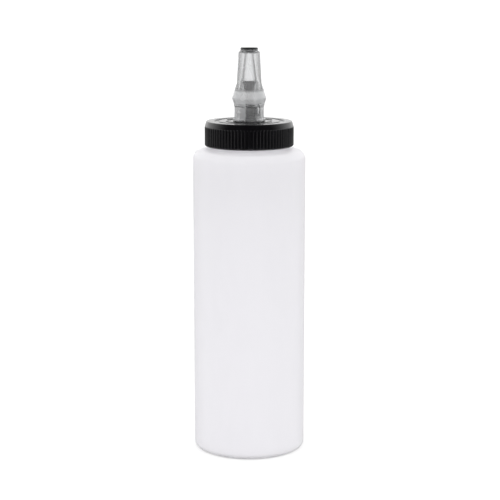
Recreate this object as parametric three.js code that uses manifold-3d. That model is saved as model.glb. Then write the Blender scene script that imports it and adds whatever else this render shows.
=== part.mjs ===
// Compound dispenser bottle: a blown cylinder bottle with a wide threaded neck, a ribbed screw cap
// that carries a valve post, a clear pull-up spout that slides on the post, and a small tip plug.
// Millimetres, +Z up. The origin is on the bottle's axis, at the surface that it stands on.

import * as THREE from "three";
import { mergeVertices } from "three/addons/utils/BufferGeometryUtils.js";
import Module from "manifold-3d";

const wasm = await Module();
wasm.setup();

// Bottle body, blown in one piece
const bodyDiameter = 50;
const bodyWall = 1.0;
const baseWall = 1.4;
const heelRadius = 2.0;
const innerHeelRadius = 1.0;
const standingRingWidth = 3.2;
const pushUpDepth = 2.2;
const pushUpBlend = 1.6;
const neckRootHeight = 136.8;
const shoulderRadius = 4.0;
const shoulderSlopeDegrees = 9;

// Neck finish: a coarse jar thread, six threads to the inch
const neckHeight = 9.8;
const neckDiameter = 34.6;
const neckBoreDiameter = 30.6;
const lipRound = 0.4;
const threadPitch = 25.4 / 6;
const threadDepth = 1.2;
const threadRootWidth = 2.3;
const threadCrestWidth = 0.9;
const threadTurns = 1.3;
const threadFadeTurns = 0.12;
const threadTopMargin = 1.4;
const ridgeRootSink = 0.3;
const ridgeFadeHeight = 0.05;

// Screw cap: skirt, top plate and the cap's half of the thread
const capThreadRadialClearance = 0.25;
const capThreadAxialClearance = 0.25;
const capThreadCrestWidth = 0.7;
const capThreadTurns = 1.0;
const capThreadLead = 0.35;
const skirtRadialClearance = 0.25;
const skirtWall = 0.55;
const skirtShoulderGap = 0.75;
const topPlateThickness = 1.1;
const topCornerRound = 0.5;
const insideCornerChamfer = 0.8;
const topBandHeight = 2.4;
const topBandInset = 0.1;
const topBandDraft = 0.65;
const skirtFootChamfer = 0.7;
const ribCount = 80;
const ribDepth = 0.4;
const ribLift = 0.06;
const ribFlatShare = 0.3;
const stackingGrooveRadius = 14.6;
const stackingGrooveWidth = 2.4;
const stackingGrooveDepth = 0.4;

// Liner ring between the cap and the lip of the neck
const linerThickness = 0.6;
const linerWidth = 4.4;
const linerOverhang = 0.6;
const seatGap = 0.2;

// Valve post, moulded in one piece with the cap
const postDiameter = 7.4;
const postBoreDiameter = 5.0;
const postHeight = 7.6;
const snapBeadHeight = 1.1;
const snapBeadReach = 0.45;
const snapBeadDrop = 0.35;
const pinDiameter = 3.8;
const pinHeadDiameter = 5.6;
const pinHeadLength = 6.0;
const pinHeadChamfer = 0.45;
const pinRise = 10.2;
const pinRootDepth = 3.6;
const webCount = 3;
const webThickness = 0.9;
const webDrop = 0.7;

// Spout, clear and moulded in one piece
const spoutHeight = 30.7;
const spoutFootDiameter = 14.4;
const spoutFootThickness = 0.7;
const gripDiameter = 13.4;
const gripFootFlare = 0.5;
const gripFootHeight = 2.6;
const gripTop = 7.4;
const flatCount = 6;
const flatDistance = 5.9;
const flatTop = 6.1;
const flangeDiameter = 15.1;
const flangeHeight = 9.5;
const flangeEdge = 0.6;
const nozzleRootHeight = 16.5;
const nozzleRootDiameter = 10.9;
const nozzleTopDiameter = 9.3;
const nozzleTopRound = 0.9;
const fullTurnDegrees = 360;
const firstFlatDegrees = -73.5;
const orificeDiameter = 3.0;
const orificeLength = 1.6;
const mouthDiameter = 7.4;
const mouthDepth = 1.2;
const boreRootDiameter = 5.2;
const seatRise = 1.0;
const chamberDiameter = 6.3;
const chamberFootDiameter = 6.8;
const chamberLength = 5.5;
const socketClearance = 0.25;
const beadClearance = 0.3;
const spoutTravel = 3.2;
const headSeatGap = 0.5;

// Tip plug
const plugDiscDiameter = 8.1;
const plugDiscThickness = 1.1;
const plugDiscChamfer = 0.45;
const plugSpigotClearance = 0.2;
const plugSpigotChamfer = 0.25;

// Facets round a circle, and steps in each rounded corner
const facetCount = 48;
const spoutFacetCount = 42;
const smallFacetCount = 24;
const arcStepCount = 2;
const weldTolerance = 1e-4;

// Heights and radii that follow from the sizes above
const bodyRadius = bodyDiameter / 2;
const neckRadius = neckDiameter / 2;
const lipHeight = neckRootHeight + neckHeight;
const threadRadius = neckRadius + threadDepth;
const skirtInnerRadius = threadRadius + skirtRadialClearance;
const skirtValleyRadius = skirtInnerRadius + skirtWall;
const ribRadius = skirtValleyRadius + ribLift + ribDepth;
const linerBottom = lipHeight + seatGap;
const plateUnderside = linerBottom + linerThickness + seatGap;
const capTop = plateUnderside + topPlateThickness;
const skirtFoot = neckRootHeight + skirtShoulderGap;
const postTop = capTop + postHeight;
const headTop = postTop + pinRise;
const spoutBottom = capTop + seatGap;
const spoutTop = spoutBottom + spoutHeight;

const degrees = THREE.MathUtils.degToRad;

// A closed three.js geometry as a solid that can be joined and cut.
function solid(geometry) {
  const bare = geometry.index ? geometry.clone() : mergeVertices(geometry, weldTolerance);
  bare.deleteAttribute("normal");
  bare.deleteAttribute("uv");
  const welded = mergeVertices(bare, weldTolerance);
  return new wasm.Manifold(
    new wasm.Mesh({
      numProp: 3,
      vertProperties: new Float32Array(welded.attributes.position.array),
      triVerts: new Uint32Array(welded.index.array),
    }),
  );
}

function geometryOf(manifold) {
  const mesh = manifold.getMesh();
  const geometry = new THREE.BufferGeometry();
  geometry.setAttribute("position", new THREE.BufferAttribute(mesh.vertProperties, 3));
  geometry.setIndex(new THREE.BufferAttribute(mesh.triVerts, 1));
  geometry.computeVertexNormals();
  return geometry;
}

// Turns a profile of radius and height round the Z axis. It runs from the axis to the axis, or closes
// on itself, with the material on its left as it goes up the outside.
function turned(profile, segments) {
  const geometry = new THREE.LatheGeometry(profile.getPoints(arcStepCount), segments);
  return solid(geometry.rotateX(Math.PI / 2));
}

// The profile of a flat-sided ring or tube, closed on itself.
function ringProfile(innerRadius, outerRadius, bottom, top) {
  const profile = new THREE.Path();
  profile.moveTo(innerRadius, bottom);
  profile.lineTo(outerRadius, bottom);
  profile.lineTo(outerRadius, top);
  profile.lineTo(innerRadius, top);
  profile.lineTo(innerRadius, bottom);
  return profile;
}

// One screw ridge with flat flanks, growing out of a wall and fading back into it at both ends.
// Its crest lies inside the wall's radius for a nut and outside it for a screw.
function screwRidge({ wallRadius, crestRadius, rootWidth, crestWidth, startHeight, firstTurn, turns }) {
  const inward = Math.sign(wallRadius - crestRadius);
  const rootRadius = wallRadius + inward * ridgeRootSink;
  const fadedRadius = wallRadius - inward * ridgeFadeHeight;
  const steps = Math.round(turns * facetCount);
  const positions = [];
  const index = [];
  for (let i = 0; i <= steps; i++) {
    const turn = (turns * i) / steps;
    const angle = 2 * Math.PI * (firstTurn + turn);
    const height = startHeight + threadPitch * (firstTurn + turn);
    const grown = Math.min(1, turn / threadFadeTurns, (turns - turn) / threadFadeTurns);
    const crest = THREE.MathUtils.lerp(fadedRadius, crestRadius, grown);
    const section = [
      [rootRadius, -rootWidth / 2],
      [wallRadius, -rootWidth / 2],
      [crest, -crestWidth / 2],
      [crest, crestWidth / 2],
      [wallRadius, rootWidth / 2],
      [rootRadius, rootWidth / 2],
    ];
    for (const [radius, rise] of section) {
      positions.push(radius * Math.cos(angle), radius * Math.sin(angle), height + rise);
    }
  }
  const corners = positions.length / 3 / (steps + 1);
  for (let i = 0; i < steps; i++) {
    for (let c = 0; c < corners; c++) {
      const here = i * corners + c;
      const beside = i * corners + ((c + 1) % corners);
      index.push(here, here + corners, beside, beside, here + corners, beside + corners);
    }
  }
  const last = steps * corners;
  for (let c = 1; c < corners - 1; c++) {
    index.push(0, c, c + 1);
    index.push(last, last + c + 1, last + c);
  }
  if (crestRadius < wallRadius) index.reverse();
  const geometry = new THREE.BufferGeometry();
  geometry.setAttribute("position", new THREE.Float32BufferAttribute(positions, 3));
  geometry.setIndex(index);
  return solid(geometry);
}

// The straight cone of the shoulder meets its rounded corner at the same slope.
const slope = degrees(shoulderSlopeDegrees);
const cornerCentreRadius = bodyRadius - shoulderRadius;
const coneEndRadius = cornerCentreRadius + shoulderRadius * Math.sin(slope);
const coneEndHeight = neckRootHeight - (coneEndRadius - neckRadius) * Math.tan(slope);
const cornerCentreHeight = coneEndHeight - shoulderRadius * Math.cos(slope);

// The helix that both threads follow, at the first turn's start.
const threadFlank = (threadRootWidth - threadCrestWidth) / 2 / threadDepth;
const threadStart = lipHeight - threadTopMargin - threadCrestWidth / 2 - threadPitch * threadTurns;

function bottle() {
  const innerRadius = bodyRadius - bodyWall;
  const heelCentreRadius = innerRadius - innerHeelRadius;
  const innerCorner = shoulderRadius - bodyWall;
  const boreRadius = neckBoreDiameter / 2;
  const ringInner = bodyRadius - heelRadius - standingRingWidth;
  const domeRadius = ringInner - pushUpBlend;
  const innerConeTop = neckRootHeight - bodyWall / Math.cos(slope);
  const innerConeHeight = (radius) => innerConeTop - (radius - neckRadius) * Math.tan(slope);

  const profile = new THREE.Path();
  profile.moveTo(0, pushUpDepth);
  profile.lineTo(domeRadius, pushUpDepth);
  profile.lineTo(ringInner, 0);
  profile.lineTo(bodyRadius - heelRadius, 0);
  profile.absarc(bodyRadius - heelRadius, heelRadius, heelRadius, -Math.PI / 2, 0, false);
  profile.lineTo(bodyRadius, cornerCentreHeight);
  profile.absarc(cornerCentreRadius, cornerCentreHeight, shoulderRadius, 0, Math.PI / 2 - slope, false);
  profile.lineTo(neckRadius, neckRootHeight);
  profile.lineTo(neckRadius, lipHeight - lipRound);
  profile.lineTo(neckRadius - lipRound, lipHeight);
  profile.lineTo(boreRadius, lipHeight);
  profile.lineTo(boreRadius, innerConeHeight(boreRadius) + bodyWall);
  profile.lineTo(boreRadius + bodyWall, innerConeHeight(boreRadius + bodyWall));
  profile.absarc(cornerCentreRadius, cornerCentreHeight, innerCorner, Math.PI / 2 - slope, 0, true);
  profile.lineTo(innerRadius, baseWall + innerHeelRadius);
  profile.absarc(heelCentreRadius, baseWall + innerHeelRadius, innerHeelRadius, 0, -Math.PI / 2, true);
  profile.lineTo(ringInner, baseWall);
  profile.lineTo(domeRadius, pushUpDepth + baseWall);
  profile.lineTo(0, pushUpDepth + baseWall);

  const thread = screwRidge({
    wallRadius: neckRadius,
    crestRadius: threadRadius,
    rootWidth: threadRootWidth,
    crestWidth: threadCrestWidth,
    startHeight: threadStart,
    firstTurn: 0,
    turns: threadTurns,
  });
  return turned(profile, facetCount).add(thread);
}

// The ribbed grip of the skirt: a toothed outline, cut to the chamfers at its top and foot.
function skirtRibs(bandFoot) {
  const valleyRadius = ribRadius - ribDepth;
  const embedRadius = skirtValleyRadius - skirtWall / 3;
  const outline = new THREE.Shape();
  const pitch = (2 * Math.PI) / ribCount;
  for (let i = 0; i < ribCount; i++) {
    const corners = [
      [valleyRadius, 0],
      [ribRadius, (1 - ribFlatShare) / 2],
      [ribRadius, (1 + ribFlatShare) / 2],
    ];
    corners.forEach(([radius, share], c) => {
      const angle = pitch * (i + share);
      const x = radius * Math.cos(angle);
      const y = radius * Math.sin(angle);
      if (i + c === 0) outline.moveTo(x, y);
      else outline.lineTo(x, y);
    });
  }
  outline.closePath();
  outline.holes.push(new THREE.Path().absarc(0, 0, embedRadius, 0, 2 * Math.PI, true));
  const toothed = new THREE.ExtrudeGeometry(outline, {
    depth: bandFoot - skirtFoot,
    bevelEnabled: false,
    curveSegments: facetCount,
  }).translate(0, 0, skirtFoot);

  const envelope = new THREE.Path();
  envelope.moveTo(0, skirtFoot);
  envelope.lineTo(ribRadius - skirtFootChamfer, skirtFoot);
  envelope.lineTo(ribRadius, skirtFoot + skirtFootChamfer);
  envelope.lineTo(ribRadius, bandFoot - ribDepth);
  envelope.lineTo(valleyRadius, bandFoot);
  envelope.lineTo(0, bandFoot);
  return solid(toothed).intersect(turned(envelope, ribCount));
}

// The skirt, the top plate and the hollow post, as one turned section.
function capShell(bandFoot) {
  const bandFootRadius = ribRadius - topBandInset;
  const bandRadius = bandFootRadius - topBandDraft;
  const topRadius = bandRadius - topCornerRound;
  const postRadius = postDiameter / 2;
  const beadRadius = postRadius + snapBeadReach;
  const beadTop = postTop - snapBeadDrop;
  const grooveInner = stackingGrooveRadius - stackingGrooveWidth / 2;
  const grooveOuter = stackingGrooveRadius + stackingGrooveWidth / 2;
  const grooveFloor = capTop - stackingGrooveDepth;
  const footRadius = skirtValleyRadius - skirtFootChamfer + ribDepth;

  const profile = new THREE.Path();
  profile.moveTo(skirtInnerRadius, skirtFoot);
  profile.lineTo(footRadius, skirtFoot);
  profile.lineTo(skirtValleyRadius, skirtFoot + skirtFootChamfer - ribDepth);
  profile.lineTo(skirtValleyRadius, bandFoot - ribDepth);
  profile.lineTo(bandFootRadius, bandFoot);
  profile.lineTo(bandRadius, capTop - topCornerRound);
  profile.absarc(topRadius, capTop - topCornerRound, topCornerRound, 0, Math.PI / 2, false);
  profile.lineTo(grooveOuter, capTop);
  profile.lineTo(grooveOuter - stackingGrooveDepth, grooveFloor);
  profile.lineTo(grooveInner + stackingGrooveDepth, grooveFloor);
  profile.lineTo(grooveInner, capTop);
  profile.lineTo(postRadius, capTop);
  profile.lineTo(postRadius, beadTop - snapBeadHeight);
  profile.lineTo(beadRadius, beadTop - snapBeadHeight + snapBeadReach);
  profile.lineTo(beadRadius, beadTop - snapBeadReach);
  profile.lineTo(postRadius, beadTop);
  profile.lineTo(postRadius - snapBeadDrop, postTop);
  profile.lineTo(postBoreDiameter / 2, postTop);
  profile.lineTo(postBoreDiameter / 2, plateUnderside);
  profile.lineTo(skirtInnerRadius - insideCornerChamfer, plateUnderside);
  profile.lineTo(skirtInnerRadius, plateUnderside - insideCornerChamfer);
  profile.lineTo(skirtInnerRadius, skirtFoot);
  return turned(profile, facetCount);
}

// The pin that closes the spout's bore, with its round head.
function valvePin() {
  const pinRadius = pinDiameter / 2;
  const headRadius = pinHeadDiameter / 2;
  const headBottom = headTop - pinHeadLength;
  const profile = new THREE.Path();
  profile.moveTo(0, postTop - pinRootDepth);
  profile.lineTo(pinRadius, postTop - pinRootDepth + pinRadius);
  profile.lineTo(pinRadius, headBottom);
  profile.lineTo(headRadius, headTop - pinHeadChamfer);
  profile.lineTo(headRadius - pinHeadChamfer, headTop);
  profile.lineTo(0, headTop);
  return turned(profile, smallFacetCount);
}

// The webs that hold the pin in the middle of the post and leave the way open between them.
function pinWebs() {
  const outerReach = (postBoreDiameter + postDiameter) / 4;
  const webHeight = pinRootDepth - pinDiameter / 2;
  const blade = new THREE.BoxGeometry(outerReach, webThickness, webHeight)
    .translate(outerReach / 2, 0, postTop - webDrop - webHeight / 2);
  const webs = Array.from({ length: webCount }, (_, i) =>
    solid(blade.clone().rotateZ((2 * Math.PI * i) / webCount)),
  );
  return webs.reduce((joined, web) => joined.add(web));
}

function screwCap() {
  const bandFoot = capTop - topBandHeight;
  const crestRadius = neckRadius + capThreadRadialClearance;
  const capThreadDepth = skirtInnerRadius - crestRadius;
  const capRootWidth = capThreadCrestWidth + 2 * threadFlank * capThreadDepth;
  // Parallel flanks: the nut ridge hangs this far under the screw ridge.
  const threadDrop =
    (threadRootWidth + capRootWidth) / 2 -
    threadFlank * (skirtInnerRadius - neckRadius) +
    capThreadAxialClearance;
  const thread = screwRidge({
    wallRadius: skirtInnerRadius,
    crestRadius,
    rootWidth: capRootWidth,
    crestWidth: capThreadCrestWidth,
    startHeight: threadStart - threadDrop,
    firstTurn: capThreadLead,
    turns: capThreadTurns,
  });
  return capShell(bandFoot).add(skirtRibs(bandFoot)).add(thread).add(valvePin()).add(pinWebs());
}

function capLiner() {
  const outerRadius = neckRadius + linerOverhang;
  const innerRadius = outerRadius - linerWidth;
  const section = ringProfile(innerRadius, outerRadius, linerBottom, linerBottom + linerThickness);
  return turned(section, facetCount);
}

// Cuts one flat of the grip, with a sloped run-out at its top.
function gripFlat(turnDegrees) {
  const reach = spoutFootDiameter;
  const runOut = gripDiameter / 2 - flatDistance;
  const bottom = spoutBottom + spoutFootThickness;
  const top = spoutBottom + flatTop;
  const section = new THREE.Shape();
  section.moveTo(flatDistance, bottom);
  section.lineTo(reach, bottom);
  section.lineTo(reach, top + (reach - flatDistance));
  section.lineTo(flatDistance + runOut, top + runOut);
  section.lineTo(flatDistance, top);
  section.closePath();
  const cutter = new THREE.ExtrudeGeometry(section, { depth: 2 * reach, bevelEnabled: false })
    .translate(0, 0, -reach)
    .rotateX(Math.PI / 2)
    .rotateZ(degrees(turnDegrees));
  return solid(cutter);
}

function spout() {
  const footRadius = spoutFootDiameter / 2;
  const gripRadius = gripDiameter / 2;
  const flangeRadius = flangeDiameter / 2;
  const rootRadius = nozzleRootDiameter / 2;
  const topRadius = nozzleTopDiameter / 2;
  const socketRadius = postDiameter / 2 + socketClearance;
  const beadRoomRadius = postDiameter / 2 + snapBeadReach + beadClearance;
  const beadBottom = postTop - snapBeadDrop - snapBeadHeight;
  const catchTop = beadBottom - spoutTravel - seatGap;
  const seatBottom = headTop - headSeatGap;
  const seatTop = seatBottom + seatRise;
  const chamberFoot = seatBottom - chamberLength;
  const topRoundHeight = spoutTop - nozzleTopRound;
  const at = (height) => spoutBottom + height;

  const profile = new THREE.Path();
  profile.moveTo(socketRadius, at(0));
  profile.lineTo(footRadius, at(0));
  profile.lineTo(footRadius, at(spoutFootThickness));
  profile.lineTo(gripRadius + gripFootFlare, at(spoutFootThickness));
  profile.lineTo(gripRadius, at(gripFootHeight));
  profile.lineTo(gripRadius, at(gripTop));
  profile.lineTo(flangeRadius, at(flangeHeight));
  profile.lineTo(flangeRadius, at(flangeHeight + flangeEdge));
  profile.lineTo(rootRadius, at(nozzleRootHeight));
  profile.lineTo(topRadius, topRoundHeight);
  profile.absarc(topRadius - nozzleTopRound, topRoundHeight, nozzleTopRound, 0, Math.PI / 2, false);
  profile.lineTo(mouthDiameter / 2, spoutTop);
  profile.lineTo(mouthDiameter / 2, spoutTop - mouthDepth);
  profile.lineTo(orificeDiameter / 2, spoutTop - mouthDepth);
  profile.lineTo(orificeDiameter / 2, spoutTop - mouthDepth - orificeLength);
  profile.lineTo(boreRootDiameter / 2, seatTop);
  profile.lineTo(chamberDiameter / 2, seatBottom);
  profile.lineTo(chamberFootDiameter / 2, chamberFoot);
  profile.lineTo(beadRoomRadius, chamberFoot);
  profile.lineTo(beadRoomRadius, catchTop);
  profile.lineTo(socketRadius, catchTop);
  profile.lineTo(socketRadius, at(0));

  const flats = Array.from({ length: flatCount }, (_, i) =>
    gripFlat(firstFlatDegrees + (fullTurnDegrees * i) / flatCount),
  );
  return flats.reduce((body, flat) => body.subtract(flat), turned(profile, spoutFacetCount));
}

function tipPlug() {
  const discRadius = plugDiscDiameter / 2;
  const spigotRadius = mouthDiameter / 2 - plugSpigotClearance;
  const discBottom = spoutTop + seatGap;
  const discTop = discBottom + plugDiscThickness;
  const spigotBottom = discBottom - mouthDepth;
  const profile = new THREE.Path();
  profile.moveTo(0, spigotBottom);
  profile.lineTo(spigotRadius - plugSpigotChamfer, spigotBottom);
  profile.lineTo(spigotRadius, spigotBottom + plugSpigotChamfer);
  profile.lineTo(spigotRadius, discBottom);
  profile.lineTo(discRadius, discBottom);
  profile.lineTo(discRadius, discTop - plugDiscChamfer);
  profile.lineTo(discRadius - plugDiscChamfer, discTop);
  profile.lineTo(0, discTop);
  return turned(profile, smallFacetCount);
}

const naturalPolyethylene = new THREE.MeshStandardMaterial({
  color: 0xe9e9ec, roughness: 0.5, metalness: 0, transparent: true, opacity: 0.92,
});
const blackPolypropylene = new THREE.MeshStandardMaterial({ color: 0x121214, roughness: 0.3, metalness: 0 });
const clearPolypropylene = new THREE.MeshStandardMaterial({
  color: 0xd2d4d6, roughness: 0.2, metalness: 0, transparent: true, opacity: 0.55,
});
const blackPolyethylene = new THREE.MeshStandardMaterial({ color: 0x151517, roughness: 0.4, metalness: 0 });
const whiteFoam = new THREE.MeshStandardMaterial({ color: 0xf2f2f0, roughness: 0.9, metalness: 0 });

function piece(name, manifold, material) {
  const mesh = new THREE.Mesh(geometryOf(manifold), material);
  mesh.name = name;
  return mesh;
}

const pullSpout = new THREE.Group();
pullSpout.add(piece("spout", spout(), clearPolypropylene));
pullSpout.add(piece("tip_plug", tipPlug(), blackPolyethylene));

const closure = new THREE.Group();
closure.add(piece("screw_cap", screwCap(), blackPolypropylene));
closure.add(piece("cap_liner", capLiner(), whiteFoam));
closure.add(pullSpout);

const dispenserBottle = new THREE.Group();
dispenserBottle.add(piece("bottle", bottle(), naturalPolyethylene));
dispenserBottle.add(closure);

export default dispenserBottle;
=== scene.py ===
# The dispenser bottle as it stands in the photograph: a cloudy blown bottle, a glossy black screw
# cap, a see-through spout over a black valve post, and a small black tip plug. Lengths in the
# profiles are millimetres. Every object is made in metres, in the frame of the model.
import math

import bmesh
import bpy
from mathutils import Matrix, Vector


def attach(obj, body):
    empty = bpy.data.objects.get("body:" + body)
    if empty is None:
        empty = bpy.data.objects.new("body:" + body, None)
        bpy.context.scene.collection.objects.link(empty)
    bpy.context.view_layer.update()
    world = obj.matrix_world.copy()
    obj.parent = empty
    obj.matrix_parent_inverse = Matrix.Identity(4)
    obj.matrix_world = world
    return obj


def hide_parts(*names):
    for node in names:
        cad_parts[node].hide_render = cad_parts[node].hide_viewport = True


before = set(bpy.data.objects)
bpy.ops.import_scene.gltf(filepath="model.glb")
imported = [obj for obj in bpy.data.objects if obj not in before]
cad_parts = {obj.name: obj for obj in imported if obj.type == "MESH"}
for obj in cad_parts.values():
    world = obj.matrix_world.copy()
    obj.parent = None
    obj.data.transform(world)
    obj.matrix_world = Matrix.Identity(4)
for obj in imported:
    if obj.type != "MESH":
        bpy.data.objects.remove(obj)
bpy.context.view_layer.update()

# Camera: a long lens in front of the bottle, a little above its cap and tilted down, as one
# pinhole view fitted to the cap's rim, the shoulder and the arc of the base.
tilt_down = 10.68
sensor_width, image_width, focal_pixels = 36, 500, 1426.4
camera = bpy.data.objects.new("camera", bpy.data.cameras.new("camera"))
bpy.context.scene.collection.objects.link(camera)
camera.location = (0.00035, -0.63135, 0.20951)
camera.rotation_euler = (math.radians(90 - tilt_down), 0, 0)
camera.data.sensor_width = sensor_width
camera.data.lens = sensor_width * focal_pixels / image_width
bpy.context.scene.camera = camera
bpy.context.scene.view_settings.view_transform = "Standard"


# Floor: a white sheet that runs far back behind the bottle and keeps its soft shadow. The black
# cap doesn't mirror it, as it doesn't in the photograph's studio.
class Wire:
    """A shader socket that takes part in arithmetic: each operator adds its Math node."""

    def __init__(self, finish, socket):
        self.finish = finish
        self.socket = socket

    def calc(self, operation, *values):
        return self.finish.node("ShaderNodeMath", {"operation": operation}, dict(enumerate(values)))

    def __add__(self, other):
        return self.calc("ADD", self, other)

    __radd__ = __add__

    def __sub__(self, other):
        return self.calc("SUBTRACT", self, other)

    def __rsub__(self, other):
        return self.calc("SUBTRACT", other, self)

    def __mul__(self, other):
        return self.calc("MULTIPLY", self, other)

    __rmul__ = __mul__

    def __abs__(self):
        return self.calc("ABSOLUTE", self)

    def ramp(self, low, high):
        """0 below low and 1 above high, with a smooth step between them."""
        settings = {"interpolation_type": "SMOOTHSTEP"}
        return self.finish.node("ShaderNodeMapRange", settings, {0: self, 1: low, 2: high})


class Finish:
    """The nodes of one material or of the world."""

    def __init__(self, owner):
        owner.use_nodes = True
        self.owner = owner
        self.tree = owner.node_tree
        self.tree.nodes.clear()

    def node(self, kind, settings, inputs, out=0):
        """Adds a node, sets its settings and then its sockets, and returns one output."""
        made = self.tree.nodes.new(kind)
        for name, value in settings.items():
            setattr(made, name, value)
        for name, value in inputs.items():
            if isinstance(value, Wire):
                self.tree.links.new(value.socket, made.inputs[name])
            else:
                made.inputs[name].default_value = value
        return Wire(self, made.outputs[out])

    def axes(self, output="Object"):
        """The place on the piece, as one vector and as three separate wires."""
        place = self.node("ShaderNodeTexCoord", {}, {}, output)
        parts = [self.node("ShaderNodeSeparateXYZ", {}, {0: place}, axis) for axis in range(3)]
        return place, *parts

    def ray(self, kind):
        """1 for rays of one kind and 0 for the rest."""
        return self.node("ShaderNodeLightPath", {}, {}, kind)

    def noise(self, place, scale, detail=2.0, stretch=(1, 1, 1)):
        """Soft noise, drawn out along an axis where its stretch is small."""
        settings = {"operation": "MULTIPLY"}
        stretched = self.node("ShaderNodeVectorMath", settings, {0: place, 1: stretch})
        inputs = {"Vector": stretched, "Scale": scale, "Detail": detail}
        return self.node("ShaderNodeTexNoise", {}, inputs)

    def blend(self, mask, first, second):
        """One colour where the mask is 0 and the other where it is 1."""
        inputs = {0: mask, 6: (*first, 1), 7: (*second, 1)}
        return self.node("ShaderNodeMix", {"data_type": "RGBA"}, inputs, 2)

    def bump(self, height, distance):
        """Fine relief of a height between 0 and 1, scaled to a distance in metres."""
        return self.node("ShaderNodeBump", {}, {"Height": height, "Distance": distance})

    def end(self, shader, kind="ShaderNodeOutputMaterial"):
        """Ends the tree in its output and returns the material or the world."""
        made = self.tree.nodes.new(kind)
        self.tree.links.new(shader.socket, made.inputs["Surface"])
        return self.owner


camera_glow = 0.4
white_sheet = Finish(bpy.data.materials.new("white_sheet"))
place, *_ = white_sheet.axes()
paper = white_sheet.noise(place, 9.0).ramp(0.3, 0.7)
sheet_tone = white_sheet.blend(paper, (0.86, 0.86, 0.86), (0.88, 0.88, 0.88))
sheet_surface = white_sheet.node("ShaderNodeBsdfDiffuse", {}, {"Color": sheet_tone})
sheet_strength = white_sheet.ray("Is Camera Ray") * camera_glow
sheet_glow = white_sheet.node("ShaderNodeEmission", {}, {"Strength": sheet_strength})
white_sheet.end(white_sheet.node("ShaderNodeAddShader", {}, {0: sheet_surface, 1: sheet_glow}))

front, back, side, floor_level = -9, 24, 9, -1e-4
floor_corners = [(-side, front), (side, front), (side, back), (-side, back)]
floor_mesh = bpy.data.meshes.new("floor")
floor_mesh.from_pydata([(x, y, floor_level) for x, y in floor_corners], [], [(0, 1, 2, 3)])
floor_mesh.materials.append(white_sheet.owner)
floor = bpy.data.objects.new("floor", floor_mesh)
bpy.context.scene.collection.objects.link(floor)
floor.visible_glossy = False
floor.visible_transmission = False

# Light: an even white tent all round. Gloss and clear plastic see it as a studio is: dark in front
# and below, where the camera stands, bright at the sides, above and behind.
soft_level, backdrop_level = 0.82, 1.02
dark_front, bright_room, bright_strips = 0.025, 1.5, 0.75
clear_level, clear_behind, wing_depth = 0.95, 0.2, 0.7
tent = Finish(bpy.data.worlds.new("tent"))
bpy.context.scene.world = tent.owner
_, _, tent_depth, tent_height = tent.axes("Generated")
glossy = tent.ray("Is Glossy Ray")
refracted = tent.ray("Is Transmission Ray")
straight = tent.ray("Is Camera Ray")
lit_room = 1 - (0 - tent_depth).ramp(-0.5, 0.5)
over_table = 0.3 + 0.7 * tent_height.ramp(-0.1, 0.06)
beside = tent_depth.ramp(-0.25, -0.05) * (1 - tent_depth.ramp(0.3, 0.5))
side_strips = beside * (1 - tent_height.ramp(-0.1, 0.0))
mirrored = dark_front + bright_room * lit_room * over_table + bright_strips * side_strips
dark_wing = tent_depth.ramp(0.04, 0.16) * (1 - tent_depth.ramp(0.62, 0.96))
looked_through = clear_level + clear_behind * tent_depth.ramp(0.85, 0.97) - wing_depth * dark_wing
studio = mirrored + refracted * (looked_through - mirrored)
seen_straight = straight * (backdrop_level - soft_level)
tent_level = soft_level + seen_straight + glossy * (studio - soft_level)
tent_surface = {"Color": (1, 1, 1, 1), "Strength": tent_level}
tent.end(tent.node("ShaderNodeBackground", {}, tent_surface), "ShaderNodeOutputWorld")


# Bottle: blown in one piece from natural polyethylene, cloudy and satin, with a wall of 1 mm, a
# raised base, a square shoulder and a coarse screw thread on its neck.
def rounded(corners, steps=6):
    """A path of (radius, height) through corners of (radius, height, fillet)."""
    path = []
    for i, (radius, height, fillet) in enumerate(corners):
        here = Vector((radius, height))
        if not fillet:
            path.append((radius, height))
            continue
        back = (Vector(corners[i - 1][:2]) - here).normalized()
        on = (Vector(corners[(i + 1) % len(corners)][:2]) - here).normalized()
        half = back.angle(on) / 2
        centre = here + (back + on).normalized() * fillet / math.sin(half)
        first = here + back * fillet / math.tan(half) - centre
        last = here + on * fillet / math.tan(half) - centre
        sweep = math.pi - 2 * half
        for s in range(steps + 1):
            share = s / steps
            spoke = first * math.sin((1 - share) * sweep) + last * math.sin(share * sweep)
            path.append(tuple(centre + spoke / math.sin(sweep)))
    return path


def finely(path, low, high, step):
    """The same path, with points every step along the parts that lie between two heights."""
    margin = 1e-6
    finer = [path[0]]
    for (r0, z0), (r1, z1) in zip(path, path[1:]):
        inside = min(z0, z1) >= low - margin and max(z0, z1) <= high + margin
        cuts = max(1, math.ceil(math.dist((r0, z0), (r1, z1)) / step)) if inside else 1
        for c in range(1, cuts + 1):
            finer.append((r0 + (r1 - r0) * c / cuts, z0 + (z1 - z0) * c / cuts))
    return finer


def turned(name, path, sides, loop=False, shape=None, first_angle=0.0):
    """An object turned round Z from a path of (radius, height). shape may move each point."""
    points, rings = [], []
    for radius, height in path:
        if radius < 1e-6:
            rings.append([len(points)])
            points.append((0, 0, height / 1000))
            continue
        rings.append(range(len(points), len(points) + sides))
        for s in range(sides):
            angle = first_angle + 2 * math.pi * s / sides
            r, z = shape(angle, radius, height) if shape else (radius, height)
            points.append((r * math.cos(angle) / 1000, r * math.sin(angle) / 1000, z / 1000))
    faces = []
    for low, high in zip(rings, [*rings[1:], *([rings[0]] if loop else [])]):
        for s in range(sides):
            t = (s + 1) % sides
            corners = [low[s % len(low)], low[t % len(low)]]
            corners += [high[t % len(high)], high[s % len(high)]]
            faces.append(list(dict.fromkeys(corners)))
    mesh = bpy.data.meshes.new(name)
    mesh.from_pydata(points, [], faces)
    mesh.polygons.foreach_set("use_smooth", [True] * len(faces))
    mesh.set_sharp_from_angle(angle=math.radians(32))
    made = bpy.data.objects.new(name, mesh)
    bpy.context.scene.collection.objects.link(made)
    return made


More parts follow.
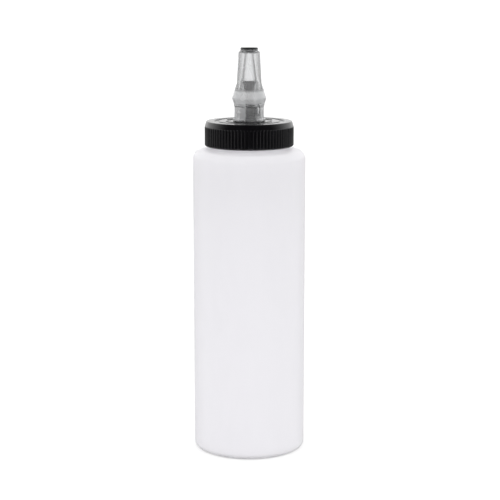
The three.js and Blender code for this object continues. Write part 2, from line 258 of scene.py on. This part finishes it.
thread_pitch = 25.4 / 6


def ridge(angle, height, start, first_turn, turns, root, crest, depth):
    """How far a screw ridge stands out of its wall, with faded ends and softened edges."""
    fade_turns = 0.12
    out = 0.0
    turn = angle / (2 * math.pi) % 1
    while turn < first_turn:
        turn += 1
    while turn <= first_turn + turns:
        away = abs(height - start - thread_pitch * turn)
        rise = min(1, max(0, (root / 2 - away) / (root / 2 - crest / 2)))
        soft_rise = 0.35 * rise + 0.65 * rise * rise * (3 - 2 * rise)
        ends = min((turn - first_turn) / fade_turns, (first_turn + turns - turn) / fade_turns)
        out = max(out, depth * min(1, ends) * soft_rise)
        turn += 1
    return out


bottle_sides = 192
neck, thread_foot = 17.3, 137.4
bottle_corners = [
    (0, 2.2, 0),  # raised base
    (18.0, 2.2, 1.4),
    (19.8, 0, 0.8),  # ring it stands on
    (25, 0, 2.0),
    (25, 135.58, 4.0),  # shoulder
    (neck, 136.8, 0.6),
    (neck, 146.6, 0.45),  # lip
    (15.3, 146.6, 0.45),
    (15.3, 136.1, 1.2),  # back down inside the wall
    (24, 134.726, 3.0),
    (24, 1.4, 1.0),
    (19.8, 1.4, 0.8),
    (18.0, 3.6, 1.4),
    (0, 3.6, 0),
]


def neck_thread(angle, radius, height):
    if abs(radius - neck) > 0.02 or height < thread_foot:
        return radius, height
    sizes = {"turns": 1.3, "root": 2.3, "crest": 0.9, "depth": 1.2}
    return radius + ridge(angle, height, start=139.247, first_turn=0, **sizes), height


bottle_path = finely(rounded(bottle_corners), 137.0, 146.3, 0.16)
bottle = turned("bottle_body", bottle_path, bottle_sides, shape=neck_thread)

thin_milk, thick_milk = (0.862, 0.856, 0.876), (0.884, 0.878, 0.896)
cloud_size, cloud_stretch = 55.0, (1, 1, 0.35)
relief_depth = 0.00003
natural = Finish(bpy.data.materials.new("natural_polyethylene"))
place, _, depth, height = natural.axes()
clouds = natural.noise(place, cloud_size, 3.0, cloud_stretch)
grain = natural.noise(place, 1400.0)
streaks = natural.noise(place, 260.0, stretch=(1, 1, 0.04))
on_body = height.ramp(0.003, 0.006) * (1 - height.ramp(0.1345, 0.136))
parting_line = (1 - abs(depth).ramp(0.00008, 0.0003)) * on_body
relief = grain * 0.35 + streaks * 0.5 + clouds * 2.0 + parting_line * 2.5
natural_surface = natural.node(
    "ShaderNodeBsdfPrincipled",
    {},
    {
        "Base Color": natural.blend(clouds.ramp(0.35, 0.65), thin_milk, thick_milk),
        "Roughness": 0.36 + clouds * 0.08 + streaks * 0.05,
        "IOR": 1.5,
        "Subsurface Weight": 1.0,
        "Subsurface Radius": (1.0, 1.0, 1.0),
        "Subsurface Scale": 0.01,
        "Normal": natural.bump(relief, relief_depth),
    },
)
bottle.data.materials.append(natural.end(natural_surface))

# The inside of the wall carries a painted glow: an emission in its own milky colour stands in for
# the light that comes through the wall from all round.
inside = Finish(bpy.data.materials.new("inner_wall_painted_glow"))
place, *_ = inside.axes()
clouds = inside.noise(place, cloud_size, 3.0, cloud_stretch)
inner_milk = inside.blend(clouds.ramp(0.35, 0.65), thin_milk, thick_milk)
inner_glow_surface = inside.node(
    "ShaderNodeBsdfPrincipled",
    {},
    {
        "Base Color": inner_milk,
        "Roughness": 0.4 + clouds * 0.1,
        "IOR": 1.5,
        # Emission here is painted light: the wall glows though it is no lamp.
        "Emission Color": inner_milk,
        "Emission Strength": 0.295,
        "Normal": inside.bump(clouds, relief_depth),
    },
)
bottle.data.materials.append(inside.end(inner_glow_surface))
lip_inside = next(i for i, (r, z) in enumerate(bottle_path) if r < 15.4 and z > 140)
for face in bottle.data.polygons[lip_inside * bottle_sides :]:
    face.material_index = 1
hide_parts("bottle")
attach(bottle, "bottle")

# Screw cap: moulded in glossy black polypropylene, with fine ribs round its skirt, a plain band
# above them, a shallow ring groove in its top and a screw ridge inside that runs on the neck's.
cap_sides, rib_count, rib_depth = 960, 80, 0.4
valley, skirt_inside = 19.36, 18.75
skirt_foot, ribs_foot, band_foot, cap_top = 137.55, 138.0, 146.3, 148.7
cap_corners = [
    (skirt_inside, skirt_foot, 0.1),
    (19.06, skirt_foot, 0.1),
    (valley, 137.95, 0.15),
    (valley, 138.3, 0),
    (valley, 145.7, 0),
    (valley, 145.95, 0.1),
    (19.66, band_foot, 0.12),
    (18.98, cap_top, 0.45),
    (15.8, cap_top, 0.12),  # ring groove
    (15.4, 148.3, 0.12),
    (13.8, 148.3, 0.12),
    (13.4, cap_top, 0.12),
    (3.6, cap_top, 0),  # inside the post's root
    (3.6, 147.6, 0),
    (17.9, 147.6, 0.15),
    (skirt_inside, 146.8, 0.15),
]


def skirt_ribs_and_thread(angle, radius, height):
    if radius < 18.5 or height > band_foot - 0.05:
        return radius, height
    if radius < 18.9:
        sizes = {"turns": 1.0, "root": 2.1, "crest": 0.7, "depth": 1.2}
        return radius - ridge(angle, height, start=137.643, first_turn=0.35, **sizes), height
    tooth = rib_depth * (0.5 + 0.5 * math.cos(rib_count * angle))
    at_foot, at_band = (height - skirt_foot) / 0.7, (band_foot - height) / 0.3
    rib = tooth * min(1.0, max(0.0, at_foot), max(0.0, at_band))
    return (max(radius, valley + rib) if height > ribs_foot else radius + rib), height


cap_path = rounded(cap_corners, 4)
in_cap = next(i for i, (r, z) in enumerate(cap_path) if r < 18.0 and z < 148.0)
cap_inside = finely([*cap_path[in_cap:], cap_path[0]], 137.5, 147.0, 0.25)[:-1]
cap_path = cap_path[:in_cap] + cap_inside
cap = turned("cap_shell", cap_path, cap_sides, loop=True, shape=skirt_ribs_and_thread)


def raised_arrow(radius, first, last):
    """The outline of a curved arrow on the cap's top, from one angle to another."""
    half_width, half_head, steps = 0.45, 1.1, 14
    neck_angle = last - half_head * 2.0 / radius
    spans = [first + (neck_angle - first) * i / steps for i in range(steps + 1)]
    outline = [(radius + half_width, a) for a in spans]
    outline += [(radius + half_head, spans[-1]), (radius, last), (radius - half_head, spans[-1])]
    outline += [(radius - half_width, a) for a in reversed(spans)]
    return [(r * math.cos(a), r * math.sin(a)) for r, a in outline]


arrow_levels, arrow_radius, arrow_sweep = (148.65, 148.95), 10.4, 52
mark_points, mark_faces = [], []
for first in (20, 110, 200, 290):
    outline = raised_arrow(arrow_radius, math.radians(first), math.radians(first + arrow_sweep))
    start, count = len(mark_points), len(outline)
    mark_points += [(x / 1000, y / 1000, z / 1000) for z in arrow_levels for x, y in outline]
    low, high = range(start, start + count), range(start + count, start + 2 * count)
    mark_faces += [tuple(reversed(low)), tuple(high)]
    mark_faces += [(low[i - 1], low[i], high[i], high[i - 1]) for i in range(count)]
marks_data = bpy.data.meshes.new("cap_arrows")
marks_data.from_pydata(mark_points, [], mark_faces)
marks = bpy.data.objects.new("cap_arrows", marks_data)
bpy.context.scene.collection.objects.link(marks)
edge = marks.modifiers.new("soft_edges", "BEVEL")
edge.width = 0.00006
edge.segments = 2
edge.limit_method = "ANGLE"

soft_black, smear_black = (0.0032, 0.0028, 0.0042), (0.0048, 0.0044, 0.006)
black = Finish(bpy.data.materials.new("black_polypropylene"))
place, *_ = black.axes()
smear = black.noise(place, 180.0, 3.0)
grain = black.noise(place, 2600.0)
black_surface = black.node(
    "ShaderNodeBsdfPrincipled",
    {},
    {
        "Base Color": black.blend(smear.ramp(0.3, 0.7), soft_black, smear_black),
        "Roughness": 0.17 + smear * 0.1 + grain * 0.04,
        "IOR": 1.49,
        "Normal": black.bump(grain * 0.4 + smear, 0.00001),
    },
)
black.end(black_surface)
for piece in (cap, marks):
    piece.data.materials.append(black.owner)
    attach(piece, "cap")
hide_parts("screw_cap")

# Valve post: part of the cap's moulding, a hollow post with a snap bead near its top and a pin
# with a round head that stands on three webs inside it and closes the spout's bore.
post_corners = [
    (3.7, 148.0, 0),
    (3.7, 154.85, 0.1),
    (4.15, 155.3, 0.12),  # snap bead
    (4.15, 155.5, 0.12),
    (3.7, 155.95, 0.1),
    (3.35, 156.3, 0.1),
    (2.5, 156.3, 0.15),
    (2.5, 148.0, 0),
]
pin_corners = [
    (0, 152.7, 0),
    (1.9, 154.6, 0.4),
    (1.9, 160.5, 2.0),
    (3.02, 166.05, 0.2),  # head
    (2.6, 166.5, 0.2),
    (0, 166.5, 0),
]
post = turned("valve_post", rounded(post_corners, 4), 96, loop=True)
pin = turned("valve_pin", rounded(pin_corners, 5), 72)

web_count = 3
web_size, web_centre = (0.0018, 0.0009, 0.0019), (0.0022, 0, 0.15475)
web_blades = bmesh.new()
for turn in range(web_count):
    blade = bmesh.ops.create_cube(web_blades, size=1)["verts"]
    bmesh.ops.scale(web_blades, verts=blade, vec=web_size)
    bmesh.ops.translate(web_blades, verts=blade, vec=web_centre)
    turn_matrix = Matrix.Rotation(2 * math.pi * turn / web_count, 3, "Z")
    bmesh.ops.rotate(web_blades, verts=blade, cent=(0, 0, 0), matrix=turn_matrix)
all_edges = web_blades.edges[:]
bmesh.ops.bevel(web_blades, geom=all_edges, offset=0.0001, segments=2, affect="EDGES")
web_data = bpy.data.meshes.new("pin_webs")
web_blades.to_mesh(web_data)
web_blades.free()
webs = bpy.data.objects.new("pin_webs", web_data)
bpy.context.scene.collection.objects.link(webs)
for piece in (post, pin, webs):
    piece.data.materials.append(black.owner)
    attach(piece, "cap")

# Liner: a ring punched from white foamed sheet, 0.6 mm thick. It is pressed between the cap and
# the lip of the neck, and seals them.
liner_low, liner_high, liner_bore, liner_reach = 146.8, 147.4, 13.5, 17.9
liner_corners = [
    (liner_bore, liner_low, 0.12),
    (liner_reach, liner_low, 0.12),
    (liner_reach, liner_high, 0.12),
    (liner_bore, liner_high, 0.12),
]
liner = turned("cap_liner_ring", rounded(liner_corners, 3), 128, loop=True)
foam = Finish(bpy.data.materials.new("white_foam"))
place, *_ = foam.axes()
cells = foam.node("ShaderNodeTexVoronoi", {}, {"Vector": place, "Scale": 2600.0})
foam_surface = foam.node(
    "ShaderNodeBsdfPrincipled",
    {},
    {
        "Base Color": foam.blend(cells.ramp(0.1, 0.6), (0.74, 0.74, 0.72), (0.84, 0.84, 0.82)),
        "Roughness": 0.8 + cells * 0.1,
        "Normal": foam.bump(cells, 0.00006),
    },
)
liner.data.materials.append(foam.end(foam_surface))
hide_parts("cap_liner")
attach(liner, "liner")

# Spout: moulded in natural polypropylene, see-through and a little cloudy. Six flats make its
# grip, a flange stands over them, and the nozzle tapers to the tip. It slides on the valve post.
grip_radius, flat_reach, room_radius, room_reach = 6.75, 5.9, 4.45, 4.95
grip_foot, grip_top = 149.62, 157.0
spout_corners = [
    (3.95, 148.9, 0.1),
    (7.2, 148.9, 0.15),  # foot
    (7.2, 149.6, 0.2),
    (7.15, 149.65, 0),
    (grip_radius, 151.5, 0.8),  # grip
    (grip_radius, 156.3, 0.3),
    (7.55, 158.4, 0.25),  # flange
    (7.55, 159.0, 0.3),
    (5.45, 165.4, 1.5),  # nozzle
    (4.68, 179.4, 0.72),
    (3.88, 179.4, 0.1),  # thin lip round the plug
    (3.86, 180.05, 0.1),
    (3.6, 180.05, 0.1),
    (3.6, 178.4, 0.1),
    (1.5, 178.4, 0.1),  # orifice
    (1.5, 176.8, 0.2),
    (2.6, 167.0, 0.3),  # bore and valve seat
    (3.15, 166.0, 0.3),
    (3.4, 160.5, 0.15),
    (room_radius, 160.5, 0.15),  # room for the snap bead
    (room_radius, grip_top, 0),
    (room_radius, 151.45, 0.15),
    (3.95, 151.45, 0.15),
]
sixth = math.pi / 3
first_flat = math.radians(-73.5)


def grip_flats(angle, radius, height):
    """Six flats outside the grip, and a six-sided room inside that keeps its wall even."""
    if radius < room_radius - 0.05 or not grip_foot < height < grip_top:
        return radius, height
    off = (angle - first_flat + sixth / 2) % sixth - sixth / 2
    if radius < room_radius + 0.05:
        share = max(0.0, min(1.0, (height - 151.6) / 0.4, (156.8 - height) / 1.0))
        return radius + share * (room_reach / math.cos(off) - radius), height
    if radius <= 5.2 or height >= 156.6:
        return radius, height
    return min(radius, (flat_reach + max(0, height - 155.0)) / math.cos(off)), height


spout_path = rounded(spout_corners)
spout_path = finely([*spout_path, spout_path[0]], 149.6, grip_top, 0.2)[:-1]
turned_to = first_flat + sixth / 2
spout = turned("spout_nozzle", spout_path, 192, loop=True, shape=grip_flats, first_angle=turned_to)

cloudy = Finish(bpy.data.materials.new("clear_polypropylene"))
place, across, depth, height = cloudy.axes()
swirl = cloudy.noise(place, 160.0, 1.0, (1, 1, 0.4))
grain = cloudy.noise(place, 2200.0, 1.0)
relief = cloudy.bump(swirl + grain * 0.1, 0.00001)
denser = swirl.ramp(0.35, 0.65)
glass = cloudy.node(
    "ShaderNodeBsdfPrincipled",
    {},
    {
        "Base Color": cloudy.blend(denser, (0.965, 0.97, 0.975), (0.985, 0.985, 0.99)),
        "Roughness": 0.24 + swirl * 0.06,
        "IOR": 1.49,
        "Transmission Weight": 1.0,
        "Normal": relief,
    },
)
milk = cloudy.node(
    "ShaderNodeBsdfPrincipled",
    {},
    {
        "Base Color": cloudy.blend(denser, (0.84, 0.85, 0.865), (0.88, 0.885, 0.895)),
        "Roughness": 0.25 + swirl * 0.08,
        "IOR": 1.49,
        "Normal": relief,
    },
)
# The haze lies on the outside: thickest on the flange, and it gathers a little at the rims. Three
# of the flats get extra milk that lightens them: painted light, standing in for the side light
# those faces catch. The other three get least and look like windows on the post.
from_axis = across * across + depth * depth
within_grip = height.ramp(0.1513, 0.1514) * (1 - height.ramp(0.1571, 0.1573))
in_room = (1 - from_axis.ramp(0.00574**2, 0.00586**2)) * within_grip
outside = from_axis.ramp(0.0045**2, 0.00462**2) * (1 - in_room)
lip = height.ramp(0.1793, 0.1795)
flange = height.ramp(0.1562, 0.157) * (1 - height.ramp(0.1612, 0.1628))
grip = height.ramp(0.1494, 0.1496) * (1 - height.ramp(0.1565, 0.1572))
window = sum(
    (across * math.cos(turn) + depth * math.sin(turn)).ramp(0.00578, 0.00586)
    for turn in (first_flat, first_flat + 2 * sixth, first_flat - 2 * sixth)
)
rim = cloudy.node("ShaderNodeLayerWeight", {}, {"Blend": 0.5}, "Facing").ramp(0.66, 0.95)
# The grip term paints light on three flats with milk; the flange and rim haze belong to the
# plastic.
haze_and_painted_light = 0.22 + flange * 0.5 + grip * 0.33 * (1 - window) + rim * 0.34
hazy = {0: outside * haze_and_painted_light + lip * 0.2, 1: glass, 2: milk}
spout.data.materials.append(cloudy.end(cloudy.node("ShaderNodeMixShader", {}, hazy)))
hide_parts("spout")
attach(spout, "spout")

# Tip plug: a small stopper moulded in black polyethylene, a disc on a short spigot. It is pushed
# into the mouth of the spout.
plug_corners = [
    (0, 178.6, 0),
    (3.5, 178.6, 0.25),
    (3.5, 180.1, 0.05),
    (3.82, 180.1, 0.1),  # disc
    (3.82, 180.6, 0.15),
    (3.6, 180.9, 0.15),
    (0, 180.9, 0),
]
plug = turned("tip_stopper", rounded(plug_corners, 5), 96)
satin = Finish(bpy.data.materials.new("black_polyethylene"))
place, *_ = satin.axes()
grain = satin.noise(place, 3000.0)
smear = satin.noise(place, 300.0)
plug_tone = satin.blend(smear.ramp(0.3, 0.7), (0.006, 0.006, 0.0065), (0.01, 0.01, 0.0105))
satin_surface = satin.node(
    "ShaderNodeBsdfPrincipled",
    {},
    {
        "Base Color": plug_tone,
        "Roughness": 0.28 + smear * 0.1,
        "IOR": 1.5,
        "Normal": satin.bump(grain * 0.5 + smear, 0.00001),
    },
)
plug.data.materials.append(satin.end(satin_surface))
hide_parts("tip_plug")
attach(plug, "plug")
